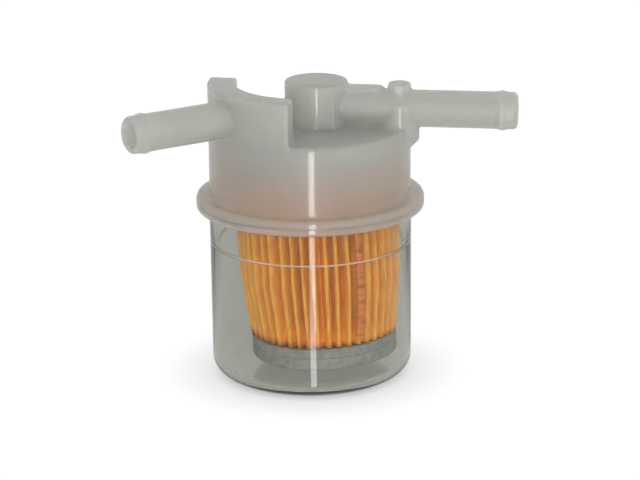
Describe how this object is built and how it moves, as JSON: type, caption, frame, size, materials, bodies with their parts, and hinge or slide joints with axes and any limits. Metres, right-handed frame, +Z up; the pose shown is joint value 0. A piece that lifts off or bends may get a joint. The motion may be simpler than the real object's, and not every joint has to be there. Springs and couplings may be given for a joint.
{
  "type": "fuel filter",
  "caption": "Throw-away in-line fuel filter: milky plastic housing with two angled hose nipples, welded to a clear bowl that shows a pleated paper element.",
  "frame": {"origin": "centre of the clear bowl's flat underside, on the body's axis", "axes": "+Z up along the body's axis, +X along the outlet nipple; the inlet nipple points 221 degrees round from +X, seen from above"},
  "size_m": [0.083, 0.0582, 0.0674],
  "materials": {
    "milky_nylon": "uncoloured translucent nylon, as moulded, smooth and slightly glossy",
    "clear_nylon": "clear nylon, as moulded, polished inside and out",
    "filter_paper": "resin-treated orange filter paper, matt, folded in sharp pleats",
    "seam_glue": "dried glue strip soaked into the paper",
    "grey_plastisol": "cured grey plastisol potting, matt and slightly lumpy",
    "end_cap": "grey pressed end cap, matt, finely mottled",
    "support_plastic": "natural plastic, as moulded",
    "seal_rubber": "black nitrile rubber, smooth"
  },
  "bodies": {
    "root": {"upper_housing": "milky_nylon", "lower_bowl": "clear_nylon", "filter_paper": "filter_paper", "paper_seam": "seam_glue", "centre_tube": "support_plastic", "upper_potting": "grey_plastisol", "upper_end_cap": "end_cap", "lower_potting": "grey_plastisol", "lower_end_cap": "end_cap", "outlet_seal": "seal_rubber"}
  },
  "joints": []
}
